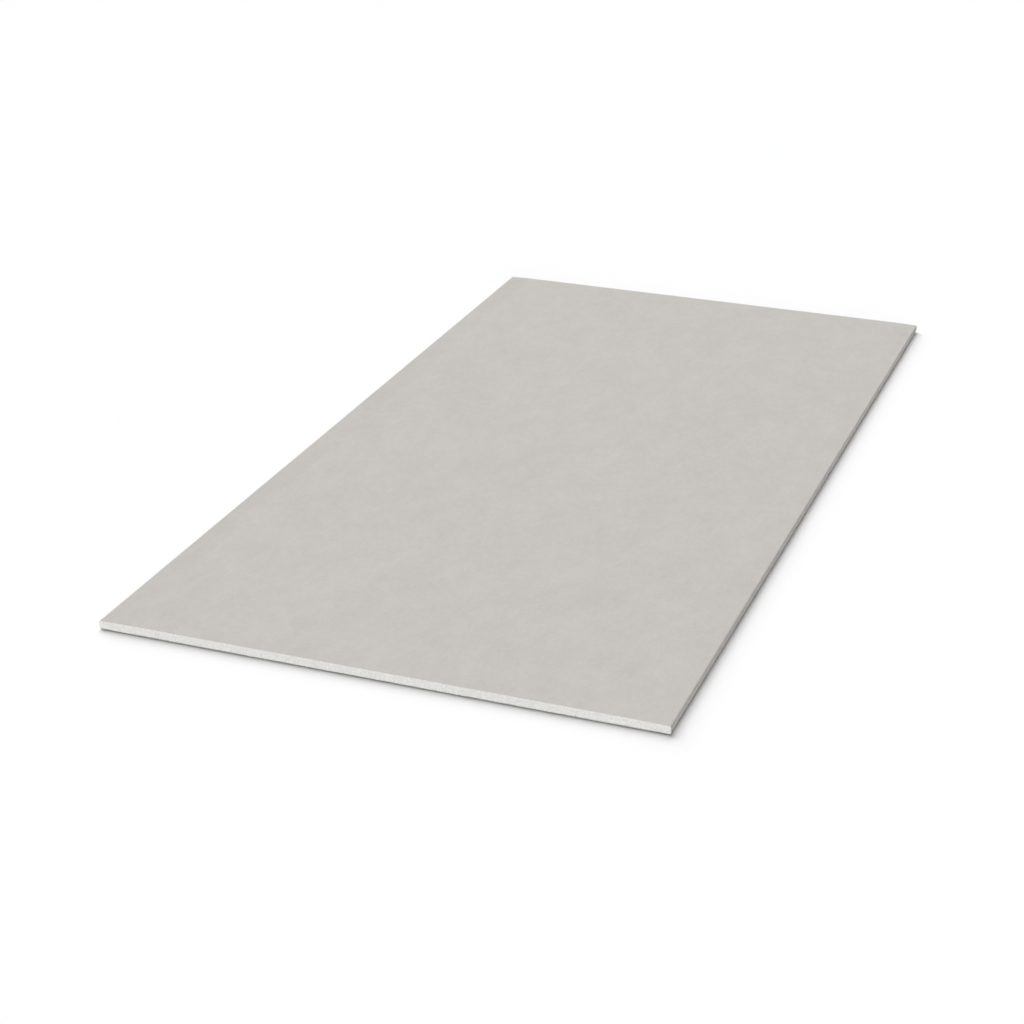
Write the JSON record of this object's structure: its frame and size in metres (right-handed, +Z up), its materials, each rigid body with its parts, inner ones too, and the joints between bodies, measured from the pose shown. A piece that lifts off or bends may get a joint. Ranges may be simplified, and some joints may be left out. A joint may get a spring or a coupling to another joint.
{
  "type": "drywall sheet",
  "caption": "Full sheet of drywall lying on its back: white gypsum core with square-cut ends, grey face paper wrapped round tapered long edges, and back paper.",
  "frame": {"origin": "middle of the underside, on the back paper, which is the lowest surface", "axes": "+X across the width, +Y along the length, +Z up through the thickness towards the face side"},
  "size_m": [1.2192, 2.4384, 0.0191],
  "materials": {
    "gypsum": "matt chalky cast gypsum, cut square, with fine pores",
    "face_paper": "smooth matt warm light grey face paper with faint mottling",
    "back_paper": "matt brownish grey recycled paper with short flecks"
  },
  "bodies": {
    "root": {"gypsum_core": "gypsum", "face_paper": "face_paper", "back_paper": "back_paper"}
  },
  "joints": []
}
